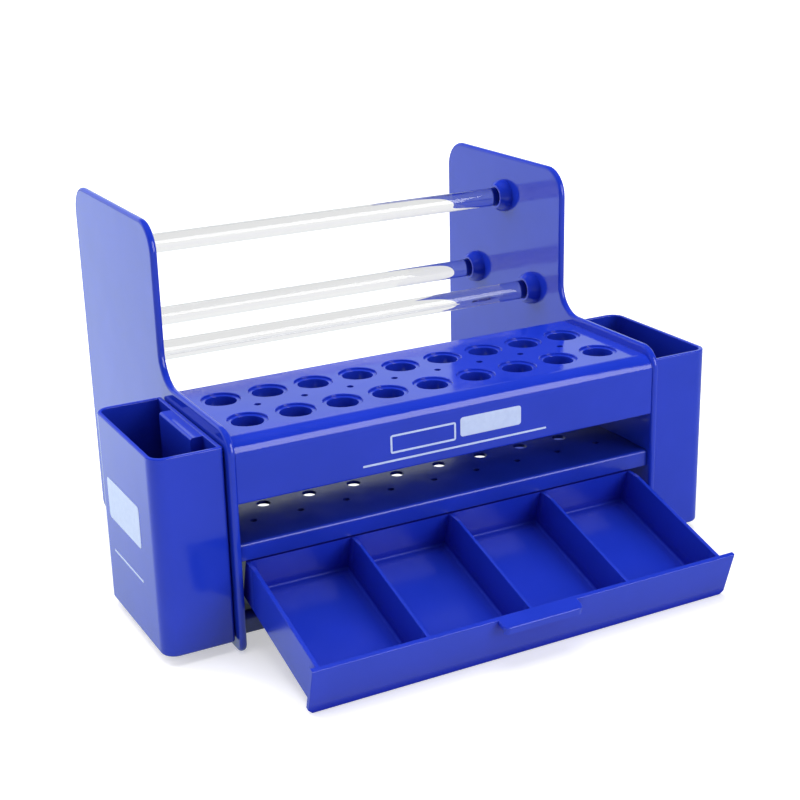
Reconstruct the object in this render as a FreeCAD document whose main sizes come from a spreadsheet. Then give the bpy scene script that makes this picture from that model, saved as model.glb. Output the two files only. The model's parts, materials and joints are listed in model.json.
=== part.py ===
import FreeCAD, Part
import math
import os
import Sketcher

# Desktop tool organizer: two moulded side panels joined by a tool deck and two shelves,
# three clear rods, a four-compartment drawer and two hang-on side bins.
# X runs along the width, Y towards the back, Z up; millimetres.

os.makedirs("parts", exist_ok=True)
doc = FreeCAD.newDocument("organizer")

SIZES = {
    # overall frame
    "inner_half": 93.5,       # half the clear width between the side panels
    "rear_y": 115.95,         # back edge of the side panels
    "front_y": -53.25,        # front edge of the side panels
    "upright_y": 16.75,       # front edge of the tall upright
    "top_z": 153.0,           # top of the upright
    "step_z": 89.2,           # top of the low step
    # side panels
    "panel_t": 3.0,
    "edge_r": 1.3,            # rounded edge on both faces
    "break_r": 0.35,          # small radius that moulding leaves on the other edges
    "crown_r": 12.5,          # upper corners of the upright
    "bend_r": 12.5,           # concave corner between upright and step
    "brow_r": 9.5,            # convex front corner of the step
    "foot_r": 4.0,            # lower corners
    # rod sockets
    "rod_r": 4.2,
    "rod_fit": 0.08,          # radial running clearance
    "socket_r": 7.5,
    "socket_tip_r": 5.4,
    "socket_len": 5.2,
    "socket_base": 0.3,
    "socket_depth": 6.6,
    "rod_end_gap": 0.3,
    "rod_bevel": 0.4,
    "rod_y_top": 63.55,
    "rod_z_top": 134.1,
    "rod_y_rear": 88.75,
    "rod_y_front": 39.55,
    "rod_z_low": 94.8,
    # tool deck
    "deck_front": -52.35,
    "deck_rear": 14.55,
    "deck_top": 85.6,
    "deck_t": 2.6,
    "deck_drop": 25.0,        # height of the front and rear skirts
    "deck_wall": 2.2,
    "skirt_edge_r": 0.8,
    "deck_front_r": 6.0,
    "deck_rear_r": 2.6,
    "hole_pitch": 20.0,
    "hole_span": 160.0,
    "row_front_y": -32.35,
    "row_gap": 26.9,
    "tool_r": 6.22,
    "recess_r": 7.8,
    "recess_depth": 0.8,
    "collar_r": 7.5,          # short tube under each tool hole
    "collar_len": 4.4,
    "pilot_y": -18.9,
    "pilot_span": 140.0,
    "pilot_r": 1.4,
    # shelves
    "shelf_front": -50.75,
    "shelf_rear": 13.55,
    "shelf_wall": 2.0,
    "mid_t": 1.4,
    "mid_top": 44.0,
    "mid_drop": 7.1,
    "mid_edge_r": 1.2,
    "tip_hole_r": 2.9,
    "base_t": 2.4,
    "base_top": 15.5,
    "base_drop": 8.4,
    "base_edge_r": 3.0,
    "tongue_len": 2.6,
    "tongue_w": 12.0,
    "tongue_front_y": -32.95,
    "tongue_rear_y": -2.95,
    "slot_gap": 0.2,
    # screws and their bosses
    "screw_r": 1.45,
    "screw_len": 11.0,
    "head_r": 2.85,
    "head_h": 1.4,
    "cross_w": 0.8,
    "cross_len": 3.2,
    "cross_depth": 0.9,
    "clear_r": 1.6,
    "sink": 1.35,
    "tap_r": 1.5,
    "tap_depth": 9.5,
    "boss_r": 3.3,
    "boss_len": 12.0,
    "deck_boss_front_y": -45.15,
    "deck_boss_rear_y": 7.65,
    "deck_boss_z": 79.9,
    "base_boss_front_y": -42.95,
    "base_boss_rear_y": 6.05,
    "base_boss_z": 10.6,
    # drawer, in its own level frame: origin at the middle of the plate's top front edge
    "plate_half_top": 92.5,
    "plate_half_low": 92.3,
    "plate_h": 20.3,
    "plate_t": 2.0,
    "plate_corner": 1.6,
    "tray_left": -90.4,
    "tray_right": 86.3,
    "tray_back": 65.0,
    "tray_h": 18.3,
    "tray_wall": 1.7,
    "tray_floor": 1.6,
    "divider_t": 1.4,
    "fall_start": 56.5,       # behind this the tray's rim slopes down
    "fall_drop": 1.8,         # how far, at the tray's back
    "tray_edge_r": 0.8,
    "cell_w": 42.275,
    "cell_corner": 1.0,
    "tab_half": 17.45,
    "tab_out": 5.1,
    "tab_t": 1.5,
    "tab_lip": 3.2,
    "tab_lip_t": 1.3,
    "tab_corner": 2.4,
    "droop_deg": 16.2,        # the pulled-out drawer hangs nose-down by this much
    "drawer_x": -0.6,
    "drawer_y": -111.15,
    "drawer_z": 19.65,
    # side bins
    "bin_gap": 0.5,           # clear of the side panel
    "bin_out": 125.0,
    "bin_front": -49.95,
    "bin_rear": 16.25,
    "bin_low": 4.0,
    "bin_top": 83.4,
    "bin_wall": 1.8,
    "bin_floor": 2.0,
    "bin_corner": 6.0,
    "bin_inner_corner": 4.2,
    "bin_near_corner": 1.2,
    "bin_rim_r": 0.5,
    "channel_half": 15.2,
    "channel_depth": 5.0,
    "channel_wall": 1.7,
    "pocket_low": 70.0,
    "pocket_cap": 1.8,
    "cap_edge_r": 1.2,
    # bin hangers on the side panels
    "hook_half": 13.5,
    "hook_low": 61.0,
    "hook_stem": 4.5,
    "hook_top": 81.3,
    "hook_start": 2.8,        # from the panel to the upturned lip
    "hook_lip_t": 2.2,
}

sheet = doc.addObject("Spreadsheet::Sheet", "sizes")
for row, (name, value) in enumerate(SIZES.items(), start=1):
    sheet.set("A%d" % row, name)
    sheet.set("B%d" % row, str(value))
    sheet.setAlias("B%d" % row, name)
doc.recompute()

SIDES = {"left": -1, "right": 1}
RODS = {
    "top": ("rod_y_top", "rod_z_top"),
    "rear": ("rod_y_rear", "rod_z_low"),
    "front": ("rod_y_front", "rod_z_low"),
}
FRONT_ROW = "sizes.row_front_y"
PILOT_ROW = "sizes.pilot_y"


def make_body(label):
    body = doc.addObject("PartDesign::Body", label)
    body.Label = label
    return body


def sketch_on(body, role, name, along=None, up=None, out=None):
    """Sketch on one of the body's origin planes, moved by sheet expressions."""
    plane = [f for f in body.Origin.OriginFeatures if f.Role == role][0]
    sketch = body.newObject("Sketcher::SketchObject", name)
    sketch.AttachmentSupport = [(plane, "")]
    sketch.MapMode = "FlatFace"
    for axis, expression in (("x", along), ("y", up), ("z", out)):
        if expression:
            sketch.setExpression("AttachmentOffset.Base." + axis, expression)
    return sketch


def outline(sketch, points):
    """Closed outline of straight lines; each corner is a pair of sheet expressions."""
    count = len(points)
    guess = [FreeCAD.Vector(value_of(x), value_of(y), 0) for x, y in points]
    for i in range(count):
        sketch.addGeometry(Part.LineSegment(guess[i], guess[(i + 1) % count]), False)
    for i in range(count):
        sketch.addConstraint(Sketcher.Constraint("Coincident", i, 2, (i + 1) % count, 1))
    for i, (x, y) in enumerate(points):
        pin_point(sketch, i, 1, x, y)


def pin_point(sketch, geometry, vertex, x, y):
    """Hold one vertex at a pair of sheet expressions, measured from the sketch's origin."""
    for kind, axis_line, expression in (("DistanceX", -1, x), ("DistanceY", -1, y)):
        value = value_of(expression)
        index = sketch.addConstraint(
            Sketcher.Constraint(kind, axis_line, 1, geometry, vertex, value)
        )
        sketch.setExpression("Constraints[%d]" % index, expression)


def circle(sketch, x, y, radius):
    center = FreeCAD.Vector(value_of(x), value_of(y), 0)
    index = sketch.addGeometry(Part.Circle(center, FreeCAD.Vector(0, 0, 1), value_of(radius)), False)
    pin_point(sketch, index, 3, x, y)
    bound = sketch.addConstraint(Sketcher.Constraint("Radius", index, value_of(radius)))
    sketch.setExpression("Constraints[%d]" % bound, radius)


def value_of(expression):
    """Number that a sheet expression gives."""
    result = sheet.evalExpression(expression)
    return float(getattr(result, "Value", result))


def box_outline(sketch, x0, y0, x1, y1):
    outline(sketch, [(x0, y0), (x1, y0), (x1, y1), (x0, y1)])


def pad(body, sketch, name, length, reverse=False, midplane=False):
    feature = body.newObject("PartDesign::Pad", name)
    feature.Profile = sketch
    feature.setExpression("Length", length)
    if midplane:
        feature.SideType = "Symmetric"
    feature.Reversed = reverse
    sketch.Visibility = False
    doc.recompute()
    return feature


def pocket(body, sketch, name, length=None, reverse=False, midplane=False):
    before = body.Shape.Volume
    feature = body.newObject("PartDesign::Pocket", name)
    feature.Profile = sketch
    if length:
        feature.setExpression("Length", length)
    else:
        feature.Type = "ThroughAll"
    if midplane:
        feature.SideType = "Symmetric"
    feature.Reversed = reverse
    sketch.Visibility = False
    doc.recompute()
    if body.Shape.Volume > before - 0.01:
        raise RuntimeError("%s removes nothing" % name)
    return feature


def edges_where(shape, test):
    return ["Edge%d" % (i + 1) for i, edge in enumerate(shape.Edges) if test(edge)]


def is_curve(edge, kind):
    """True where the edge is of the given curve type; a seam may have none."""
    try:
        return edge.Curve.TypeId == "Part::Geom" + kind
    except TypeError:
        return False


def is_along(edge, axis):
    """True for a straight edge along the given axis."""
    if not is_curve(edge, "Line"):
        return False
    return abs(abs(getattr(edge.tangentAt(edge.FirstParameter), axis)) - 1) < 1e-6


def edge_at(edge, **place):
    """True where the middle of the edge lies at the given coordinates."""
    middle = edge.valueAt((edge.FirstParameter + edge.LastParameter) / 2)
    return all(abs(getattr(middle, axis) - value) < 0.02 for axis, value in place.items())


def is_round(edge, *radii):
    """True for a circle with one of the named radii."""
    return is_curve(edge, "Circle") and any(
        abs(edge.Curve.Radius - SIZES[name]) < 0.001 for name in radii
    )


def dress(body, kind, name, size, test):
    """Fillet or chamfer on the edges that pass the test."""
    tip = body.Tip
    names = edges_where(tip.Shape, test)
    if not names:
        raise RuntimeError("%s finds no edges" % name)
    feature = body.newObject("PartDesign::" + kind, name)
    feature.Base = (tip, names)
    feature.setExpression("Radius" if kind == "Fillet" else "Size", size)
    doc.recompute()
    return feature


def pattern(body, name, originals, sketch, steps):
    """Repeat features along the sketch's axes; steps gives (axis, length, count)."""
    multi = body.newObject("PartDesign::MultiTransform", name)
    multi.Originals = originals
    parts = []
    for i, (axis, length, count) in enumerate(steps):
        linear = body.newObject("PartDesign::LinearPattern", "%s_%d" % (name, i))
        linear.Direction = (sketch, [axis])
        linear.setExpression("Length", length)
        linear.Occurrences = count
        parts.append(linear)
    multi.Transformations = parts
    body.Tip = multi
    doc.recompute()
    return multi


def side_panel(side):
    """Stepped side plate with rod sockets inside and a bin hanger outside."""
    sign = SIDES[side]
    left = sign < 0
    body = make_body("side_panel_" + side)
    inner = "%d * sizes.inner_half" % sign
    outer = "%d * (sizes.inner_half + sizes.panel_t)" % sign

    plan = sketch_on(body, "YZ_Plane", "plan_" + side, out=inner)
    outline(plan, [
        ("sizes.rear_y", "0"),
        ("sizes.rear_y", "sizes.top_z"),
        ("sizes.upright_y", "sizes.top_z"),
        ("sizes.upright_y", "sizes.step_z"),
        ("sizes.front_y", "sizes.step_z"),
        ("sizes.front_y", "0"),
    ])
    pad(body, plan, "plate_" + side, "sizes.panel_t", reverse=left)

    top, step = SIZES["top_z"], SIZES["step_z"]
    rear, front, upright = SIZES["rear_y"], SIZES["front_y"], SIZES["upright_y"]
    corners = (
        ("crown", "crown_r", [(rear, top), (upright, top)]),
        ("bend", "bend_r", [(upright, step)]),
        ("brow", "brow_r", [(front, step)]),
        ("foot", "foot_r", [(rear, 0), (front, 0)]),
    )
    for name, size, places in corners:
        dress(body, "Fillet", "%s_%s" % (name, side), "sizes." + size,
              lambda e: is_along(e, "x") and any(edge_at(e, y=y, z=z) for y, z in places))

    faces = (sign * SIZES["inner_half"], sign * (SIZES["inner_half"] + SIZES["panel_t"]))
    dress(body, "Fillet", "rounded_edge_" + side, "sizes.edge_r",
          lambda e: any(edge_at(e, x=x) for x in faces))

    hook = sketch_on(body, "XZ_Plane", "hook_profile_" + side,
                     out="-(sizes.bin_front + sizes.bin_rear) / 2")
    lip_in = "%d * (sizes.inner_half + sizes.panel_t + sizes.hook_start)" % sign
    lip_out = "%d * (sizes.inner_half + sizes.panel_t + sizes.hook_start + sizes.hook_lip_t)" % sign
    root = "%d * (sizes.inner_half + sizes.panel_t / 2)" % sign
    outline(hook, [
        (root, "sizes.hook_low"),
        (lip_out, "sizes.hook_low"),
        (lip_out, "sizes.hook_top"),
        (lip_in, "sizes.hook_top"),
        (lip_in, "sizes.hook_low + sizes.hook_stem"),
        (root, "sizes.hook_low + sizes.hook_stem"),
    ])
    pad(body, hook, "hook_" + side, "2 * sizes.hook_half", midplane=True)
    lip_x = sign * (SIZES["inner_half"] + SIZES["panel_t"] + SIZES["hook_start"]
                    + SIZES["hook_lip_t"])
    dress(body, "Fillet", "hook_nose_" + side, "sizes.edge_r",
          lambda e: is_along(e, "y") and edge_at(e, x=lip_x))

    for rod, (rod_y, rod_z) in RODS.items():
        socket = sketch_on(body, "XZ_Plane", "socket_%s_%s" % (rod, side),
                           out="-sizes." + rod_y, up="sizes." + rod_z)
        dome(socket, sign)
        turn = body.newObject("PartDesign::Revolution", "dome_%s_%s" % (rod, side))
        turn.Profile = socket
        turn.ReferenceAxis = (socket, ["H_Axis"])
        turn.Angle = 360
        doc.recompute()

    bores = sketch_on(body, "YZ_Plane", "rod_bores_" + side,
                      out="%d * (sizes.inner_half - sizes.socket_len)" % sign)
    for rod_y, rod_z in RODS.values():
        circle(bores, "sizes." + rod_y, "sizes." + rod_z, "sizes.rod_r + sizes.rod_fit")
    pocket(body, bores, "rod_bore_" + side, "sizes.socket_depth", reverse=not left)
    tip_x = sign * (SIZES["inner_half"] - SIZES["socket_len"])
    dress(body, "Fillet", "socket_mouth_" + side, "sizes.break_r",
          lambda e: is_curve(e, "Circle") and edge_at(e, x=tip_x))

    drill = sketch_on(body, "YZ_Plane", "screw_holes_" + side, out=outer)
    for level in ("deck", "base"):
        for end in ("front", "rear"):
            circle(drill, "sizes.%s_boss_%s_y" % (level, end), "sizes.%s_boss_z" % level,
                   "sizes.clear_r")
    pocket(body, drill, "screw_hole_" + side, "sizes.panel_t + 1", reverse=left)
    dress(body, "Chamfer", "countersink_" + side, "sizes.sink",
          lambda e: is_curve(e, "Circle") and edge_at(e, x=faces[1])
          and abs(e.Curve.Radius - SIZES["clear_r"]) < 0.01)

    slots = sketch_on(body, "YZ_Plane", "shelf_slots_" + side, out=inner)
    for end in ("front", "rear"):
        middle = "sizes.tongue_%s_y" % end
        box_outline_at(slots, middle, "sizes.tongue_w / 2 + sizes.slot_gap",
                       "sizes.mid_top - sizes.mid_t - sizes.slot_gap",
                       "sizes.mid_top + sizes.slot_gap")
    pocket(body, slots, "shelf_slot_" + side, "sizes.panel_t + 1", reverse=not left)
    return body


def dome(sketch, sign):
    """Half profile of a rod socket: a short collar, then a round shoulder to a flat tip."""
    root = "%d * (sizes.inner_half + sizes.panel_t / 2)" % sign
    collar = "%d * (sizes.inner_half - sizes.socket_base)" % sign
    tip = "%d * (sizes.inner_half - sizes.socket_len)" % sign
    points = [
        (root, "0"),
        (root, "sizes.socket_r"),
        (collar, "sizes.socket_r"),
        (tip, "sizes.socket_tip_r"),
        (tip, "0"),
    ]
    spots = [FreeCAD.Vector(value_of(x), value_of(y), 0) for x, y in points]
    reach = abs(spots[3].x - spots[2].x)
    drop = spots[2].y - spots[3].y
    shoulder_r = (reach ** 2 + drop ** 2) / (2 * drop)
    sweep = math.asin(reach / shoulder_r)
    round_center = spots[2] - FreeCAD.Vector(0, shoulder_r, 0)
    shoulder = Part.Circle(round_center, FreeCAD.Vector(0, 0, 1), shoulder_r)
    quarter = math.pi / 2
    if sign > 0:
        arc_from, arc_to = 1, 2
        arc = Part.ArcOfCircle(shoulder, quarter, quarter + sweep)
    else:
        arc_from, arc_to = 2, 1
        arc = Part.ArcOfCircle(shoulder, quarter - sweep, quarter)
    sketch.addGeometry(Part.LineSegment(spots[0], spots[1]), False)
    sketch.addGeometry(Part.LineSegment(spots[1], spots[2]), False)
    sketch.addGeometry(arc, False)
    sketch.addGeometry(Part.LineSegment(spots[3], spots[4]), False)
    sketch.addGeometry(Part.LineSegment(spots[4], spots[0]), False)
    for first, first_end, second, second_end in (
        (0, 2, 1, 1),
        (2, arc_to, 3, 1),
        (3, 2, 4, 1),
        (4, 2, 0, 1),
    ):
        sketch.addConstraint(
            Sketcher.Constraint("Coincident", first, first_end, second, second_end)
        )
    sketch.addConstraint(Sketcher.Constraint("Tangent", 1, 2, 2, arc_from))
    pin_point(sketch, 0, 1, *points[0])
    pin_point(sketch, 0, 2, *points[1])
    pin_point(sketch, 1, 2, *points[2])
    pin_point(sketch, 3, 1, *points[3])
    pin_point(sketch, 3, 2, *points[4])


def box_outline_at(sketch, middle, half, low, high):
    """Rectangle centred on one value; more than one may share a sketch."""
    start = sketch.GeometryCount
    corners = [
        ("%s - (%s)" % (middle, half), low),
        ("%s + (%s)" % (middle, half), low),
        ("%s + (%s)" % (middle, half), high),
        ("%s - (%s)" % (middle, half), high),
    ]
    spots = [FreeCAD.Vector(value_of(x), value_of(y), 0) for x, y in corners]
    for i in range(4):
        sketch.addGeometry(Part.LineSegment(spots[i], spots[(i + 1) % 4]), False)
    for i in range(4):
        sketch.addConstraint(
            Sketcher.Constraint("Coincident", start + i, 2, start + (i + 1) % 4, 1)
        )
    for i, (x, y) in enumerate(corners):
        pin_point(sketch, start + i, 1, x, y)


def end_bosses(body, level):
    """Screw bosses with tapping holes at both ends of a deck or shelf."""
    for side, sign in SIDES.items():
        left = sign < 0
        end_x = "%d * sizes.inner_half" % sign
        posts = sketch_on(body, "YZ_Plane", "%s_posts_%s" % (level, side), out=end_x)
        for end in ("front", "rear"):
            circle(posts, "sizes.%s_boss_%s_y" % (level, end), "sizes.%s_boss_z" % level,
                   "sizes.boss_r")
        pad(body, posts, "%s_post_%s" % (level, side), "sizes.boss_len", reverse=not left)
        taps = sketch_on(body, "YZ_Plane", "%s_taps_%s" % (level, side), out=end_x)
        for end in ("front", "rear"):
            circle(taps, "sizes.%s_boss_%s_y" % (level, end), "sizes.%s_boss_z" % level,
                   "sizes.tap_r")
        pocket(body, taps, "%s_tap_%s" % (level, side), "sizes.tap_depth", reverse=left)


def hole_grid(body, name, start_x, start_y, radius, top, steps, recess=None):
    """Through holes, optionally recessed, repeated over a grid."""
    first = sketch_on(body, "XY_Plane", name + "_sketch", out=top)
    circle(first, start_x, start_y, radius)
    originals = [pocket(body, first, name + "_first", "sizes.deck_t + sizes.collar_len + 1")]
    if recess:
        ring = sketch_on(body, "XY_Plane", name + "_ring", out=top)
        circle(ring, start_x, start_y, recess)
        originals.append(pocket(body, ring, name + "_recess", "sizes.recess_depth"))
    return pattern(body, name + "_grid", originals, first, steps)


def tool_deck():
    body = make_body("tool_deck")
    profile = sketch_on(body, "YZ_Plane", "deck_profile")
    outline(profile, [
        ("sizes.deck_rear", "sizes.deck_top - sizes.deck_drop"),
        ("sizes.deck_rear", "sizes.deck_top"),
        ("sizes.deck_front", "sizes.deck_top"),
        ("sizes.deck_front", "sizes.deck_top - sizes.deck_drop"),
        ("sizes.deck_front + sizes.deck_wall", "sizes.deck_top - sizes.deck_drop"),
        ("sizes.deck_front + sizes.deck_wall", "sizes.deck_top - sizes.deck_t"),
        ("sizes.deck_rear - sizes.deck_wall", "sizes.deck_top - sizes.deck_t"),
        ("sizes.deck_rear - sizes.deck_wall", "sizes.deck_top - sizes.deck_drop"),
    ])
    pad(body, profile, "deck_fold", "2 * sizes.inner_half", midplane=True)
    top = SIZES["deck_top"]
    under = top - SIZES["deck_t"]
    front, rear = SIZES["deck_front"], SIZES["deck_rear"]
    wall = SIZES["deck_wall"]
    bends = (
        ("front", "sizes.deck_front_r", front, top),
        ("front_inner", "sizes.deck_front_r - sizes.deck_wall", front + wall, under),
        ("rear", "sizes.deck_rear_r", rear, top),
        ("rear_inner", "sizes.deck_rear_r - sizes.deck_wall", rear - wall, under),
    )
    for name, size, y, z in bends:
        dress(body, "Fillet", "deck_bend_" + name, size,
              lambda e: is_along(e, "x") and edge_at(e, y=y, z=z))
    skirt_low = top - SIZES["deck_drop"]
    dress(body, "Fillet", "skirt_edge", "sizes.skirt_edge_r",
          lambda e: is_along(e, "x") and edge_at(e, z=skirt_low))
    end_bosses(body, "deck")
    collar = sketch_on(body, "XY_Plane", "collar_sketch", out="sizes.deck_top - sizes.deck_t")
    circle(collar, "-sizes.hole_span / 2", FRONT_ROW, "sizes.collar_r")
    tube = pad(body, collar, "collar_first", "sizes.collar_len", reverse=True)
    pattern(body, "collars", [tube], collar,
            [("H_Axis", "sizes.hole_span", 9), ("V_Axis", "sizes.row_gap", 2)])
    hole_grid(body, "tool_hole", "-sizes.hole_span / 2", FRONT_ROW, "sizes.tool_r",
              "sizes.deck_top", [("H_Axis", "sizes.hole_span", 9), ("V_Axis", "sizes.row_gap", 2)],
              recess="sizes.recess_r")
    hole_grid(body, "pilot_hole", "-sizes.pilot_span / 2", PILOT_ROW, "sizes.pilot_r",
              "sizes.deck_top", [("H_Axis", "sizes.pilot_span", 8)])
    step = top - SIZES["recess_depth"]
    dress(body, "Fillet", "hole_rims", "sizes.break_r",
          lambda e: (is_round(e, "recess_r") and edge_at(e, z=top))
          or (is_round(e, "tool_r") and edge_at(e, z=step)))
    return body


def shelf(label, level, edge_r):
    """Plate with a front skirt, rounded along its top front edge."""
    body = make_body(label)
    top = "sizes.%s_top" % level
    low = "%s - sizes.%s_drop" % (top, level)
    under = "%s - sizes.%s_t" % (top, level)
    profile = sketch_on(body, "YZ_Plane", level + "_profile")
    outline(profile, [
        ("sizes.shelf_rear", top),
        ("sizes.shelf_front", top),
        ("sizes.shelf_front", low),
        ("sizes.shelf_front + sizes.shelf_wall", low),
        ("sizes.shelf_front + sizes.shelf_wall", under),
        ("sizes.shelf_rear", under),
    ])
    pad(body, profile, level + "_plate", "2 * sizes.inner_half", midplane=True)
    front, height = SIZES["shelf_front"], SIZES[level + "_top"]
    dress(body, "Fillet", level + "_nose", "sizes." + edge_r,
          lambda e: is_along(e, "x") and edge_at(e, y=front, z=height))
    skirt_low = height - SIZES[level + "_drop"]
    dress(body, "Fillet", level + "_skirt_edge", "sizes.break_r",
          lambda e: is_along(e, "x") and edge_at(e, z=skirt_low))
    rear = SIZES["shelf_rear"]
    dress(body, "Fillet", level + "_rear_edge", "sizes.break_r",
          lambda e: is_along(e, "x") and edge_at(e, y=rear))
    return body


def mid_shelf():
    body = shelf("mid_shelf", "mid", "mid_edge_r")
    for side, sign in SIDES.items():
        tongues = sketch_on(body, "YZ_Plane", "tongues_" + side,
                            out="%d * sizes.inner_half" % sign)
        for end in ("front", "rear"):
            box_outline_at(tongues, "sizes.tongue_%s_y" % end, "sizes.tongue_w / 2",
                           "sizes.mid_top - sizes.mid_t", "sizes.mid_top")
        pad(body, tongues, "tongue_" + side, "sizes.tongue_len", reverse=sign < 0)
    hole_grid(body, "tip_hole", "-sizes.pilot_span / 2", PILOT_ROW, "sizes.tip_hole_r",
              "sizes.mid_top", [("H_Axis", "sizes.pilot_span", 8)])
    hole_grid(body, "dot_hole", "-sizes.hole_span / 2", FRONT_ROW, "sizes.pilot_r",
              "sizes.mid_top", [("H_Axis", "sizes.hole_span", 9), ("V_Axis", "sizes.row_gap", 2)])
    return body


def bottom_shelf():
    body = shelf("bottom_shelf", "base", "base_edge_r")
    end_bosses(body, "base")
    return body


def drawer():
    """Open tray with dividers, a wider front plate and a pull tab, hanging nose-down."""
    body = make_body("drawer")
    face = sketch_on(body, "XZ_Plane", "plate_face")
    outline(face, [
        ("-sizes.plate_half_top", "0"),
        ("-sizes.plate_half_low", "-sizes.plate_h"),
        ("sizes.plate_half_low", "-sizes.plate_h"),
        ("sizes.plate_half_top", "0"),
    ])
    pad(body, face, "front_plate", "sizes.plate_t", reverse=True)
    low = -SIZES["plate_h"]
    dress(body, "Chamfer", "plate_corners", "sizes.plate_corner",
          lambda e: is_along(e, "y") and edge_at(e, z=low))

    tray = sketch_on(body, "XY_Plane", "tray_outline", out="-sizes.tray_h")
    box_outline(tray, "sizes.tray_left", "sizes.plate_t / 2", "sizes.tray_right", "sizes.tray_back")
    pad(body, tray, "tray_block", "sizes.tray_h")
    back = SIZES["tray_back"]
    floor = -SIZES["tray_h"]
    dress(body, "Fillet", "tray_back_corners", "sizes.tray_wall",
          lambda e: is_along(e, "z") and edge_at(e, y=back))
    dress(body, "Fillet", "tray_belly", "sizes.tray_edge_r",
          lambda e: edge_at(e, z=floor) and e.BoundBox.YMin > SIZES["plate_t"] - 0.01)

    cell = sketch_on(body, "XY_Plane", "cell_outline")
    box_outline(cell, "sizes.tray_left + sizes.tray_wall", "sizes.plate_t",
                "sizes.tray_left + sizes.tray_wall + sizes.cell_w",
                "sizes.tray_back - sizes.tray_wall")
    first = pocket(body, cell, "cell_first", "sizes.tray_h - sizes.tray_floor")
    pattern(body, "cells", [first], cell,
            [("H_Axis", "3 * (sizes.cell_w + sizes.divider_t)", 4)])
    floor_in = -SIZES["tray_h"] + SIZES["tray_floor"]
    dress(body, "Fillet", "cell_corners", "sizes.cell_corner",
          lambda e: edge_at(e, z=floor_in) and e.Length > 5)

    fall = sketch_on(body, "YZ_Plane", "rim_fall")
    outline(fall, [
        ("sizes.fall_start", "0"),
        ("sizes.tray_back + 1", "0"),
        ("sizes.tray_back + 1", "-sizes.fall_drop"),
        ("sizes.tray_back", "-sizes.fall_drop"),
    ])
    pocket(body, fall, "rim_fall_cut", "2 * sizes.plate_half_top", midplane=True)

    tab = sketch_on(body, "YZ_Plane", "tab_profile")
    outline(tab, [
        ("sizes.plate_t / 2", "0"),
        ("-sizes.tab_out", "0"),
        ("-sizes.tab_out", "-sizes.tab_lip"),
        ("-sizes.tab_out + sizes.tab_lip_t", "-sizes.tab_lip"),
        ("-sizes.tab_out + sizes.tab_lip_t", "-sizes.tab_t"),
        ("sizes.plate_t / 2", "-sizes.tab_t"),
    ])
    pad(body, tab, "pull_tab", "2 * sizes.tab_half", midplane=True)
    nose = -SIZES["tab_out"]
    dress(body, "Fillet", "tab_corners", "sizes.tab_corner",
          lambda e: is_along(e, "z") and edge_at(e, y=nose))
    dress(body, "Fillet", "tab_brow", "sizes.edge_r / 2",
          lambda e: is_along(e, "x") and edge_at(e, y=nose, z=0))
    plate_t = SIZES["plate_t"]
    dress(body, "Fillet", "rim_edges", "sizes.break_r",
          lambda e: edge_at(e, z=0) and e.BoundBox.YMin > plate_t - 0.01 and e.Length > 3)
    dress(body, "Fillet", "plate_front_edges", "sizes.break_r",
          lambda e: edge_at(e, y=0) and (e.BoundBox.ZMin < -2 or abs(e.BoundBox.XMin) > 18
                                         or abs(e.BoundBox.XMax) > 18))

    body.Placement = FreeCAD.Placement(
        FreeCAD.Vector(SIZES["drawer_x"], SIZES["drawer_y"], SIZES["drawer_z"]),
        FreeCAD.Rotation(FreeCAD.Vector(1, 0, 0), SIZES["droop_deg"]),
    )
    body.setExpression("Placement.Base.x", "sizes.drawer_x")
    body.setExpression("Placement.Base.y", "sizes.drawer_y")
    body.setExpression("Placement.Base.z", "sizes.drawer_z")
    doc.recompute()
    return body


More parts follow.
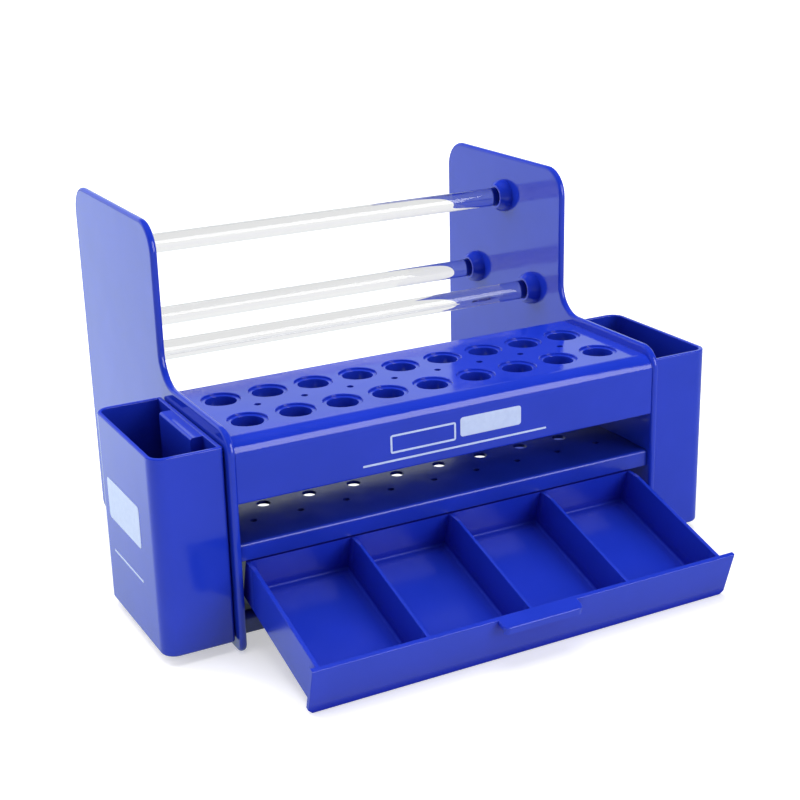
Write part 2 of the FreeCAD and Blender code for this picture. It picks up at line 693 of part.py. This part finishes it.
def side_bin(side):
    """Open box with a channel and pocket on the panel side that drop over the hanger."""
    sign = SIDES[side]
    left = sign < 0
    body = make_body("bin_" + side)
    near = "sizes.inner_half + sizes.panel_t + sizes.bin_gap"
    middle = "(sizes.bin_front + sizes.bin_rear) / 2"

    def across(expression):
        return "%d * (%s)" % (sign, expression)

    base = sketch_on(body, "XY_Plane", "bin_base_" + side, out="sizes.bin_low")
    box_outline(base, across(near), "sizes.bin_front", across("sizes.bin_out"), "sizes.bin_rear")
    pad(body, base, "bin_block_" + side, "sizes.bin_top - sizes.bin_low")
    far_x = sign * SIZES["bin_out"]
    near_x = sign * (SIZES["inner_half"] + SIZES["panel_t"] + SIZES["bin_gap"])
    dress(body, "Fillet", "bin_corners_" + side, "sizes.bin_corner",
          lambda e: is_along(e, "z") and edge_at(e, x=far_x))
    dress(body, "Fillet", "bin_near_corners_" + side, "sizes.bin_near_corner",
          lambda e: is_along(e, "z") and edge_at(e, x=near_x))
    low = SIZES["bin_low"]
    dress(body, "Fillet", "bin_belly_" + side, "sizes.bin_near_corner",
          lambda e: edge_at(e, z=low))

    inside = sketch_on(body, "XY_Plane", "bin_inside_" + side, out="sizes.bin_top")
    box_outline(inside, across(near + " + sizes.bin_wall"), "sizes.bin_front + sizes.bin_wall",
                across("sizes.bin_out - sizes.bin_wall"), "sizes.bin_rear - sizes.bin_wall")
    pocket(body, inside, "bin_inside_cut_" + side,
           "sizes.bin_top - sizes.bin_low - sizes.bin_floor")
    inner_x = sign * (SIZES["bin_out"] - SIZES["bin_wall"])
    dress(body, "Fillet", "bin_inner_corners_" + side, "sizes.bin_inner_corner",
          lambda e: is_along(e, "z") and edge_at(e, x=inner_x))
    top = SIZES["bin_top"]
    dress(body, "Fillet", "bin_rim_" + side, "sizes.bin_rim_r", lambda e: edge_at(e, z=top))

    rib = sketch_on(body, "XY_Plane", "channel_block_" + side, out="sizes.bin_low")
    box_outline(rib, across(near + " + sizes.bin_wall / 2"),
                middle + " - sizes.channel_half - sizes.channel_wall",
                across(near + " + sizes.channel_depth + sizes.channel_wall"),
                middle + " + sizes.channel_half + sizes.channel_wall")
    pad(body, rib, "channel_wall_" + side, "sizes.bin_top - sizes.bin_low - sizes.bin_rim_r")

    channel = sketch_on(body, "XY_Plane", "channel_" + side, out="sizes.bin_low")
    box_outline(channel, across(near + " - 1"), middle + " - sizes.channel_half",
                across(near + " + sizes.channel_depth"), middle + " + sizes.channel_half")
    pocket(body, channel, "channel_cut_" + side, "sizes.pocket_low - sizes.bin_low", reverse=True)

    cup = sketch_on(body, "XY_Plane", "hook_pocket_" + side, out="sizes.bin_low")
    box_outline(cup, across(near + " + sizes.bin_wall"), middle + " - sizes.channel_half",
                across(near + " + sizes.channel_depth"), middle + " + sizes.channel_half")
    pocket(body, cup, "hook_pocket_cut_" + side,
           "sizes.bin_top - sizes.pocket_cap - sizes.bin_low", reverse=True)
    cap_z = SIZES["bin_top"] - SIZES["bin_rim_r"]
    block_x = sign * (SIZES["inner_half"] + SIZES["panel_t"] + SIZES["bin_gap"]
                      + SIZES["channel_depth"] + SIZES["channel_wall"])
    dress(body, "Fillet", "cap_edge_" + side, "sizes.cap_edge_r",
          lambda e: is_along(e, "y") and edge_at(e, x=block_x, z=cap_z))
    return body


def rod(name):
    """Clear round rod that turns freely in its two sockets."""
    rod_y, rod_z = RODS[name]
    body = make_body("rod_" + name)
    half = "(sizes.inner_half - sizes.socket_len + sizes.socket_depth - sizes.rod_end_gap)"
    section = sketch_on(body, "YZ_Plane", "rod_section_" + name)
    circle(section, "sizes." + rod_y, "sizes." + rod_z, "sizes.rod_r")
    pad(body, section, "rod_bar_" + name, "2 * " + half, midplane=True)
    dress(body, "Chamfer", "rod_bevel_" + name, "sizes.rod_bevel",
          lambda e: is_curve(e, "Circle"))
    return body


def screw(label, sign, y, z):
    """Countersunk cross-head screw, its head flush with the panel's outer face."""
    face_x = "%d * (sizes.inner_half + sizes.panel_t)" % sign
    shank = doc.addObject("Part::Cylinder", label + "_shank")
    shank.setExpression("Radius", "sizes.screw_r")
    shank.setExpression("Height", "sizes.screw_len")
    head = doc.addObject("Part::Cone", label + "_head")
    head.setExpression("Radius1", "sizes.head_r")
    head.setExpression("Radius2", "sizes.screw_r")
    head.setExpression("Height", "sizes.head_h")
    blank = doc.addObject("Part::MultiFuse", label + "_blank")
    blank.Shapes = [shank, head]
    bars = []
    for turned in (False, True):
        bar = doc.addObject("Part::Box", label + ("_bar_b" if turned else "_bar_a"))
        long_side, short_side = ("Width", "Length") if turned else ("Length", "Width")
        bar.setExpression(long_side, "sizes.cross_len")
        bar.setExpression(short_side, "sizes.cross_w")
        bar.setExpression("Height", "sizes.cross_depth")
        bar.setExpression("Placement.Base.x", "-%s / 2" % ("sizes.cross_w" if turned
                                                           else "sizes.cross_len"))
        bar.setExpression("Placement.Base.y", "-%s / 2" % ("sizes.cross_len" if turned
                                                           else "sizes.cross_w"))
        bars.append(bar)
    cross = doc.addObject("Part::MultiFuse", label + "_cross")
    cross.Shapes = bars
    cut = doc.addObject("Part::Cut", label)
    cut.Base = blank
    cut.Tool = cross
    cut.Placement.Rotation = FreeCAD.Rotation(FreeCAD.Vector(0, 0, 1), FreeCAD.Vector(-sign, 0, 0))
    cut.setExpression("Placement.Base.x", face_x)
    cut.setExpression("Placement.Base.y", y)
    cut.setExpression("Placement.Base.z", z)
    return cut


def screw_pair(level, side):
    """The front and rear screws that hold one end of the deck or the bottom shelf."""
    label = "%s_screws_%s" % (level, side)
    pair = [
        screw("%s_screw_%s_%s" % (level, side, end), SIDES[side],
              "sizes.%s_boss_%s_y" % (level, end), "sizes.%s_boss_z" % level)
        for end in ("front", "rear")
    ]
    group = doc.addObject("Part::Compound", label)
    group.Label = label
    group.Links = pair
    return group


nodes = []
for side in SIDES:
    nodes.append(side_panel(side))
nodes.append(tool_deck())
nodes.append(mid_shelf())
nodes.append(bottom_shelf())
nodes.append(drawer())
for side in SIDES:
    nodes.append(side_bin(side))
for name in RODS:
    nodes.append(rod(name))
for level in ("deck", "base"):
    for side in SIDES:
        nodes.append(screw_pair(level, side))
doc.recompute()

for item in doc.Objects:
    if any(flag in item.State for flag in ("Invalid", "Error")):
        raise RuntimeError("%s is in state %s" % (item.Name, item.State))
for node in nodes:
    if node.Shape.isNull() or not node.Shape.isValid():
        raise RuntimeError("%s has no valid shape" % node.Label)
    node.Shape.exportStep(os.path.join("parts", node.Label + ".step"))
    box = node.Shape.BoundBox
    print("%-20s solids %d volume %9.1f  X %7.2f %7.2f  Y %7.2f %7.2f  Z %7.2f %7.2f" % (
        node.Label, len(node.Shape.Solids), node.Shape.Volume,
        box.XMin, box.XMax, box.YMin, box.YMax, box.ZMin, box.ZMax))
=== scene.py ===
"""Looks of the desktop tool organizer: moulded blue plastic, clear rods, blank prints and studio."""
import json
import math

import bmesh
import bpy
from mathutils import Matrix, Vector


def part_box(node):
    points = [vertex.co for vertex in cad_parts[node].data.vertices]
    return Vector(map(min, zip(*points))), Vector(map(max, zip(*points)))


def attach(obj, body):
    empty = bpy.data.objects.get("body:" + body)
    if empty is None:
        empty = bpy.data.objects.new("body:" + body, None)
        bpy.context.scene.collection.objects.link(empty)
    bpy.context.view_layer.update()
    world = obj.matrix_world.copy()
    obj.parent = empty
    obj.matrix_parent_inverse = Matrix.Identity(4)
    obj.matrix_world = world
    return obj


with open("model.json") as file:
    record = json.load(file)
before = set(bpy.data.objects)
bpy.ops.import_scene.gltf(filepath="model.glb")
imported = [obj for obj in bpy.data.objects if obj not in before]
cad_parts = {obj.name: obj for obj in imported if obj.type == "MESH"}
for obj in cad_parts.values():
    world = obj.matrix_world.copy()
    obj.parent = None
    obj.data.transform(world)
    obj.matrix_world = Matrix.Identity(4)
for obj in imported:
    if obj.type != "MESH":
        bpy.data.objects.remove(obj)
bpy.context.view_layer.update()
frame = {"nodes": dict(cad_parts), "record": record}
nodes = frame["nodes"]
MM = 0.001


# ---------------------------------------------------------------- node trees

OCCLUSION_SAMPLES = 6
NOISE_LOW, NOISE_HIGH = 0.3, 0.7        # most of Blender's noise lies between these


class Tree:
    """A node tree with short ways to add and join nodes."""

    def __init__(self, owner, output):
        owner.use_nodes = True
        self.tree = owner.node_tree
        self.tree.nodes.clear()
        self.output = self.add(output)

    def feed(self, socket, value):
        """Gives a socket a number or a colour, or links another node's output to it."""
        if isinstance(value, bpy.types.NodeSocket):
            self.tree.links.new(value, socket)
        else:
            socket.default_value = value

    def add(self, kind, **inputs):
        """A new node; an input's name is written with _ for a space."""
        node = self.tree.nodes.new(kind)
        for name, value in inputs.items():
            self.feed(node.inputs[name.replace("_", " ")], value)
        return node

    def add_in_order(self, kind, *values):
        """A new node whose first inputs take these values."""
        node = self.tree.nodes.new(kind)
        for socket, value in zip(node.inputs, values):
            self.feed(socket, value)
        return node

    def show(self, surface):
        self.feed(self.output.inputs["Surface"], surface)

    def place(self):
        """The point in the object's own metres."""
        return self.add("ShaderNodeTexCoord").outputs["Object"]

    def distance_from(self, spot):
        """Metres from a spot on the table."""
        node = self.add_in_order("ShaderNodeVectorMath", self.place(), spot)
        node.operation = "DISTANCE"
        return node.outputs["Value"]

    def noise(self, scale, detail, roughness=0.5, place=None):
        """Clouds of 1 / scale metres."""
        if place is None:
            place = self.place()
        node = self.add("ShaderNodeTexNoise", Vector=place, Scale=scale, Detail=detail,
                        Roughness=roughness)
        return node.outputs["Fac"]

    def sums(self, operation, first, second):
        """Math on two values; each is a number or a socket."""
        node = self.add_in_order("ShaderNodeMath", first, second)
        node.operation = operation
        return node.outputs["Value"]

    def remap(self, value, span, low, high, interpolation="LINEAR"):
        """Takes a value from a span to another range and holds it at the ends."""
        start, end = span
        node = self.add("ShaderNodeMapRange", Value=value, From_Min=start, From_Max=end,
                        To_Min=low, To_Max=high)
        node.interpolation_type = interpolation
        return node.outputs["Result"]

    def ramp(self, value, span, low, high):
        """A smooth step from one number to another."""
        return self.remap(value, span, low, high, "SMOOTHSTEP")

    def spread(self, noise, low, high):
        """Noise, which stays near one half, spread out between two numbers."""
        return self.remap(noise, (NOISE_LOW, NOISE_HIGH), low, high)

    def openness(self, reach, span, alone):
        """Zero deep in a recess, one on an open face; alone, other objects close nothing off."""
        node = self.add("ShaderNodeAmbientOcclusion", Distance=reach)
        node.samples = OCCLUSION_SAMPLES
        node.only_local = alone
        return self.remap(node.outputs["AO"], span, 0.0, 1.0)

    def blend(self, factor, first, second):
        """Mix of two colours; each is a triple or a socket."""
        node = self.add("ShaderNodeMix", Factor=factor)
        node.data_type = "RGBA"
        for name, colour in (("A", first), ("B", second)):
            socket = [i for i in node.inputs if i.name == name and i.type == "RGBA"][0]
            self.feed(socket, (*colour, 1) if isinstance(colour, tuple) else colour)
        return [o for o in node.outputs if o.type == "RGBA"][0]

    def bump(self, height, distance, under=None):
        """A bent normal; under is the normal of a coarser bump beneath it."""
        node = self.add("ShaderNodeBump", Strength=1.0, Distance=distance, Height=height)
        if under is not None:
            self.feed(node.inputs["Normal"], under)
        return node.outputs["Normal"]

    def choose(self, factor, first, second):
        """The first shader where the factor is zero, the second where it is one."""
        return self.add_in_order("ShaderNodeMixShader", factor, first, second).outputs[0]

    def both(self, first, second):
        """The light of two shaders added up."""
        return self.add_in_order("ShaderNodeAddShader", first, second).outputs[0]

    def rays(self):
        """One or zero for camera, matt, mirrored and see-through rays."""
        path = self.add("ShaderNodeLightPath")
        through = path.outputs["Is Transmission Ray"]
        solid = self.sums("SUBTRACT", 1.0, through)
        return {"camera": path.outputs["Is Camera Ray"],
                "matt": path.outputs["Is Diffuse Ray"],
                "mirrored": self.sums("MULTIPLY", path.outputs["Is Glossy Ray"], solid),
                "through": through}


class Shader(Tree):
    """A material's node tree."""

    def __init__(self, name):
        self.material = bpy.data.materials.new(name)
        super().__init__(self.material, "ShaderNodeOutputMaterial")

    def principled(self, **inputs):
        surface = self.add("ShaderNodeBsdfPrincipled", **inputs).outputs["BSDF"]
        self.show(surface)
        return surface


# ---------------------------------------------------------------- materials

PLASTIC_IOR, ACRYLIC_IOR = 1.5, 1.49
FACE_BLUES = ((0.010, 0.034, 0.48), (0.013, 0.038, 0.53))       # between these the colour drifts
# painted shade: dark blues that the face blue is mixed towards in recesses, by ambient occlusion; the
# reach and the spans of open sky below set where this painted shade fades out
PAINTED_RECESS_SHADE = (0.006, 0.008, 0.24)
SHELF_PAINTED_SHADE = (0.004, 0.004, 0.05)
TRAY_PAINTED_SHADE = (0.014, 0.010, 0.34)
RECESS_REACH = 50 * MM
RECESS_SHUT, FACE_OPEN, SHELF_OPEN = 0.08, 0.5, 0.95            # share of open sky around a point
PEEL_DEPTH = 0.0016 * MM
SINK_SHALLOW, SINK_PLAIN, SINK_DEEP = 0.06 * MM, 0.09 * MM, 0.16 * MM
GLOSS, SATIN, SOFT_SATIN = (0.07, 0.13), (0.14, 0.2), (0.16, 0.22)      # ranges of roughness

CORNER_REACH = 4 * MM
CORNER_SPAN = (0.7, 0.97)
CORNER_ROUGHNESS = 0.6
CORNER_SHINE, PLAIN_SHINE = 0.06, 0.5                           # specular level

ACRYLIC_TINT = (0.97, 0.975, 0.98, 1)
STRAIGHT_THROUGH = (0.95, 0.95, 0.95, 1)                        # light left after crossing a rod
DRAWN_OUT = (0.02, 1.0, 1.0)                                    # stretches the noise along a rod
DRAW_DEPTH = 0.004 * MM
STEEL_GREYS = ((0.52, 0.53, 0.55), (0.66, 0.66, 0.64))
INK_WHITES = ((0.50, 0.60, 0.86), (0.56, 0.66, 0.91))
GRAIN_DEPTH = 0.002 * MM


def moulded_blue(name, sink_depth, polish, recess=PAINTED_RECESS_SHADE, open_from=FACE_OPEN, alone=False,
                 dull_corners=False):
    """Injection-moulded blue with painted shade that darkens it towards the recess colour in recesses,
    faint clouds, sink waviness and orange peel.

    polish is the range of its roughness. With alone, the painted shade counts only the part's own shape,
    so the clear rods don't darken the sockets they stand in. Tight inner corners of a mould are hard to
    polish; with dull_corners they hardly shine.
    """
    s = Shader(name)
    face = s.blend(s.spread(s.noise(scale=38.0, detail=3.0), 0.0, 1.0), *FACE_BLUES)
    # painted shade: ambient occlusion mixes the face blue towards the recess colour in recesses
    face_with_painted_shade = s.blend(s.openness(RECESS_REACH, (RECESS_SHUT, open_from), alone), recess, face)
    roughness = s.spread(s.noise(scale=160.0, detail=4.0, roughness=0.6), *polish)
    shine = PLAIN_SHINE
    if dull_corners:
        open_here = s.openness(CORNER_REACH, CORNER_SPAN, alone)
        roughness = s.remap(open_here, (0.0, 1.0), CORNER_ROUGHNESS, roughness)
        shine = s.remap(open_here, (0.0, 1.0), CORNER_SHINE, PLAIN_SHINE)
    sink = s.bump(s.noise(scale=60.0, detail=1.0), sink_depth)
    peel = s.bump(s.noise(scale=900.0, detail=2.0), PEEL_DEPTH, under=sink)
    s.principled(Base_Color=face_with_painted_shade, Roughness=roughness, Specular_IOR_Level=shine, IOR=PLASTIC_IOR,
                 Normal=peel)
    return s.material


def clear_acrylic():
    """Polished clear rod with faint draw lines; light falls straight through it into the sockets."""
    s = Shader("clear_acrylic_rod")
    along = s.add("ShaderNodeMapping", Vector=s.place(), Scale=DRAWN_OUT)
    lines = s.noise(scale=700.0, detail=2.0, place=along.outputs["Vector"])
    shown = s.principled(Base_Color=ACRYLIC_TINT, Roughness=s.spread(lines, 0.0, 0.03),
                         IOR=ACRYLIC_IOR, Transmission_Weight=1.0, Normal=s.bump(lines, DRAW_DEPTH))
    unbent = s.add("ShaderNodeBsdfTransparent", Color=STRAIGHT_THROUGH).outputs["BSDF"]
    path = s.add("ShaderNodeLightPath")
    for kind in ("Is Shadow Ray", "Is Diffuse Ray"):
        shown = s.choose(path.outputs[kind], shown, unbent)
    s.show(shown)
    return s.material


def zinc_steel():
    """Zinc-plated screw: bright and slightly uneven."""
    s = Shader("zinc_screw_steel")
    cloud = s.spread(s.noise(scale=900.0, detail=3.0), 0.0, 1.0)
    s.principled(Base_Color=s.blend(cloud, *STEEL_GREYS), Metallic=1.0,
                 Roughness=s.spread(s.noise(scale=2500.0, detail=2.0), 0.22, 0.4),
                 Normal=s.bump(s.noise(scale=3000.0, detail=2.0), GRAIN_DEPTH))
    return s.material


def pale_ink():
    """Pad-printed white ink, a little thinner in places."""
    s = Shader("pale_print_ink")
    cover = s.spread(s.noise(scale=450.0, detail=4.0, roughness=0.6), 0.0, 1.0)
    s.principled(Base_Color=s.blend(cover, *INK_WHITES), IOR=PLASTIC_IOR,
                 Roughness=s.spread(s.noise(scale=1400.0, detail=2.0), 0.28, 0.42),
                 Normal=s.bump(s.noise(scale=2200.0, detail=2.0), GRAIN_DEPTH))
    return s.material


def dress_nodes():
    """Gives each CAD node the material of its slot or a finish of its own."""
    plain = moulded_blue("moulded_blue_plastic", SINK_PLAIN, GLOSS)
    upright = moulded_blue("moulded_blue_panel", SINK_PLAIN, GLOSS, alone=True)
    wavy = moulded_blue("moulded_blue_wavy", SINK_DEEP, GLOSS)
    # painted shade: the shelves darken further out and deeper, the tray's cells darken less
    shelf = moulded_blue("moulded_blue_shelf", SINK_SHALLOW, SATIN, SHELF_PAINTED_SHADE, SHELF_OPEN)
    tray = moulded_blue("moulded_blue_tray", SINK_SHALLOW, SOFT_SATIN, TRAY_PAINTED_SHADE,
                        dull_corners=True)
    by_slot = {"blue_plastic": plain, "clear_rod": clear_acrylic(), "screw_steel": zinc_steel()}
    by_node = {"tool_deck": wavy, "mid_shelf": shelf, "bottom_shelf": shelf, "drawer": tray,
               "side_panel_left": upright, "side_panel_right": upright}
    for part in frame["record"]["subparts"]:
        label = part["node"]
        for slot in nodes[label].material_slots:
            slot.material = by_node.get(label, by_slot[part["material_slot"]])


# ---------------------------------------------------------------- blank prints

INK_THICKNESS = 0.08 * MM
CORNER_STEPS = 6
SHARPEST_CORNER = 0.05                  # mm

# a face is a point on it and the direction in which its prints run
SKIRT = (Vector((0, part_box("tool_deck")[0].y, 0)), Vector((1, 0, 0)))
BIN_SIDE = (Vector((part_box("bin_left")[0].x, 0, 0)), Vector((0, -1, 0)))

# name, body, face, middle (along and up), size, corner radius and width of the outline, in mm;
# without an outline the field is filled
PRINTS = (
    ("skirt_blank_badge", "cabinet", SKIRT, (15.0, 72.7), (28.0, 8.0), 1.2, None),
    ("skirt_blank_frame", "cabinet", SKIRT, (-15.5, 71.6), (29.0, 7.6), 1.0, 0.8),
    ("skirt_rule", "cabinet", SKIRT, (-0.5, 64.9), (83.0, 0.8), 0.3, None),
    ("bin_blank_label", "bin_left", BIN_SIDE, (13.0, 50.5), (37.0, 17.0), 1.6, None),
    ("bin_label_rule", "bin_left", BIN_SIDE, (13.5, 28.2), (34.0, 0.9), 0.3, None),
)


def rounded_outline(width, height, radius):
    """Points round a rectangle with round corners about the origin."""
    points = []
    for quarter, (sx, sy) in enumerate(((1, 1), (-1, 1), (-1, -1), (1, -1))):
        for i in range(CORNER_STEPS + 1):
            angle = math.pi / 2 * (quarter + i / CORNER_STEPS)
            points.append((sx * (width / 2 - radius) + radius * math.cos(angle),
                           sy * (height / 2 - radius) + radius * math.sin(angle)))
    return points


def print_field(name, body, face, middle, size, radius, line, ink):
    """A flat printed field whose edge runs down into the plastic."""
    origin, across = face
    up = Vector((0, 0, 1))
    out = across.cross(up)
    shape = bmesh.new()

    def ring(points, lift):
        return [shape.verts.new(origin + (across * (middle[0] + u) + up * (middle[1] + v)) * MM
                                + out * lift) for u, v in points]

    def wall(first, second):
        for i in range(len(first)):
            j = (i + 1) % len(first)
            shape.faces.new((first[i], first[j], second[j], second[i]))

    width, height = size
    outer = rounded_outline(width, height, radius)
    top = ring(outer, INK_THICKNESS)
    wall(ring(outer, -INK_THICKNESS), top)
    if line is None:
        shape.faces.new(top)
    else:
        inner = rounded_outline(width - 2 * line, height - 2 * line, max(radius - line, SHARPEST_CORNER))
        inner_top = ring(inner, INK_THICKNESS)
        wall(top, inner_top)
        wall(inner_top, ring(inner, -INK_THICKNESS))
    bmesh.ops.recalc_face_normals(shape, faces=shape.faces)
    mesh = bpy.data.meshes.new(name)
    shape.to_mesh(mesh)
    shape.free()
    mesh.materials.append(ink)
    field = bpy.data.objects.new(name, mesh)
    bpy.context.scene.collection.objects.link(field)
    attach(field, body)


# ---------------------------------------------------------------- studio

WHITE = (1, 1, 1, 1)
GLOSS_TINT = (0.86, 1.0, 1.06, 1)
SKY_LIGHT = 0.32                        # what falls on matt surfaces; 1 is white

# the room that gloss mirrors; its spans are parts of one towards the back or upwards
ROOM_FRONT, ROOM_BACK, ROOM_TOP = 0.15, 0.9, 0.08
HORIZON_GLOW = 1.2                      # how much brighter the backdrop is at table level
FRONT_TO_BACK = (-0.25, 0.45)
HORIZON_SPAN = (0.02, 0.26)
CEILING_SPAN = (0.34, 0.62)

# what is seen in the clear rods
ROOM_THROUGH, CEILING_THROUGH, TABLE_THROUGH = 0.91, 0.86, 0.83
THROUGH_SPAN = (0.1, 0.8)

# the table; spans are metres from a spot on it
TABLE_HALF = 4.0
TABLE_PAINT = (0.8, 0.8, 0.8, 1)
MIDDLE = (0, 0, 0)
TABLE_NEAR, TABLE_FAR = 0.48, 0.9       # lift to white for the camera
NEAR_SPAN = (0.35, 1.2)
POOL_MIDDLE = (-0.27, 0.55, 0)
POOL_BRIGHT, POOL_DIM = 1.42, 0.6       # the pale pool that gloss mirrors
POOL_SPAN = (0.28, 0.75)
UNDER_RODS = (0, 0.06, 0)
UNDER_SPAN = (0.25, 1.0)

# name, place, target, size in metres, watts and whether gloss mirrors the lamp
LAMP_TARGET = (0, 0, 0.06)
LAMPS = (
    ("top", (0.0, 0.1, 1.6), MIDDLE, (1.2, 1.2), 17.5, False),
    ("back_left", (-0.8, 1.1, 1.1), LAMP_TARGET, (0.9, 0.9), 13.0, False),
    ("left", (-1.4, 0.1, 0.55), LAMP_TARGET, (1.0, 0.9), 4.0, False),
    ("band_front_right", (0.64, -1.26, 0.62), LAMP_TARGET, (0.75, 1.0), 12.0, True),
)

CAMERA_PLACE = (-0.28026, -0.53475, 0.27913)
CAMERA_YAW, CAMERA_PITCH, CAMERA_ROLL = 0.47601, 0.33702, 0.02771       # radians
CAMERA_LENS, CAMERA_SENSOR = 68.37, 36.0                                # mm
CAMERA_SHIFT = (0.0179, 0.0035)


def softbox(name, place, target, size, power, mirrored):
    """Soft rectangular lamp, not seen through the clear rods; gloss may leave it out too."""
    light = bpy.data.lights.new(name, "AREA")
    light.shape = "RECTANGLE"
    light.size, light.size_y = size
    light.energy = power
    lamp = bpy.data.objects.new(name, light)
    bpy.context.scene.collection.objects.link(lamp)
    lamp.location = place
    lamp.rotation_euler = (Vector(target) - lamp.location).to_track_quat("-Z", "Y").to_euler()
    lamp.visible_glossy = mirrored
    lamp.visible_transmission = False


def pale_world():
    """White backdrop to the camera; gloss mirrors a room that is palest low at the back."""
    world = bpy.data.worlds.new("studio")
    sky = Tree(world, "ShaderNodeOutputWorld")
    heading = sky.add("ShaderNodeSeparateXYZ", Vector=sky.add("ShaderNodeTexCoord").outputs["Generated"])
    back, height = heading.outputs["Y"], heading.outputs["Z"]
    rays = sky.rays()

    room = sky.sums("MULTIPLY", sky.ramp(back, FRONT_TO_BACK, ROOM_FRONT, ROOM_BACK),
                    sky.ramp(height, HORIZON_SPAN, HORIZON_GLOW, 1.0))
    room = sky.sums("MULTIPLY", room, sky.ramp(height, CEILING_SPAN, 1.0, ROOM_TOP))
    glass = sky.sums("MULTIPLY", rays["through"],
                     sky.ramp(height, THROUGH_SPAN, ROOM_THROUGH, CEILING_THROUGH))
    plain = sky.sums("ADD", rays["camera"], sky.sums("MULTIPLY", rays["matt"], SKY_LIGHT))
    white = sky.add("ShaderNodeBackground", Color=WHITE, Strength=sky.sums("ADD", plain, glass))
    tinted = sky.add("ShaderNodeBackground", Color=GLOSS_TINT,
                     Strength=sky.sums("MULTIPLY", rays["mirrored"], room))
    sky.show(sky.both(white.outputs[0], tinted.outputs[0]))
    bpy.context.scene.world = world


def table_white():
    """The table's paint, lifted to white for the camera, and what gloss and the rods show of it."""
    s = Shader("floor_white")
    rays = s.rays()
    paint = s.add("ShaderNodeBsdfDiffuse", Color=TABLE_PAINT)
    near_to_far = s.ramp(s.distance_from(MIDDLE), NEAR_SPAN, TABLE_NEAR, TABLE_FAR)
    lift = s.add("ShaderNodeEmission", Color=WHITE,
                 Strength=s.sums("MULTIPLY", rays["camera"], near_to_far))
    pool = s.add("ShaderNodeEmission", Color=GLOSS_TINT,
                 Strength=s.ramp(s.distance_from(POOL_MIDDLE), POOL_SPAN, POOL_BRIGHT, POOL_DIM))
    beneath = s.add("ShaderNodeEmission", Color=WHITE,
                    Strength=s.ramp(s.distance_from(UNDER_RODS), UNDER_SPAN, TABLE_THROUGH, ROOM_THROUGH))
    shown = s.both(paint.outputs[0], lift.outputs[0])
    shown = s.choose(rays["mirrored"], shown, pool.outputs[0])
    shown = s.choose(rays["through"], shown, beneath.outputs[0])
    s.show(shown)
    return s.material


def pale_floor():
    """The table top, far wider than the object."""
    mesh = bpy.data.meshes.new("floor")
    half = TABLE_HALF
    mesh.from_pydata([(-half, -half, 0), (half, -half, 0), (half, half, 0), (-half, half, 0)], [],
                     [(0, 1, 2, 3)])
    mesh.materials.append(table_white())
    floor = bpy.data.objects.new("floor", mesh)
    bpy.context.scene.collection.objects.link(floor)


def set_camera():
    """Camera in front, left and above; the angles and place come from the object's own edges."""
    yaw, pitch, roll = CAMERA_YAW, CAMERA_PITCH, CAMERA_ROLL
    ahead = Vector((math.sin(yaw) * math.cos(pitch), math.cos(yaw) * math.cos(pitch), -math.sin(pitch)))
    level = Vector((math.cos(yaw), -math.sin(yaw), 0))
    down = ahead.cross(level)
    right = math.cos(roll) * level + math.sin(roll) * down
    up = math.sin(roll) * level - math.cos(roll) * down
    data = bpy.data.cameras.new("camera")
    data.sensor_width = CAMERA_SENSOR
    data.lens = CAMERA_LENS
    data.shift_x, data.shift_y = CAMERA_SHIFT
    camera = bpy.data.objects.new("camera", data)
    bpy.context.scene.collection.objects.link(camera)
    turn = Matrix((right, up, -ahead)).transposed()
    camera.matrix_world = Matrix.Translation(CAMERA_PLACE) @ turn.to_4x4()
    bpy.context.scene.camera = camera


dress_nodes()
ink = pale_ink()
for field in PRINTS:
    print_field(*field, ink)
pale_world()
pale_floor()
for lamp in LAMPS:
    softbox(*lamp)
set_camera()
bpy.context.scene.view_settings.view_transform = "Standard"
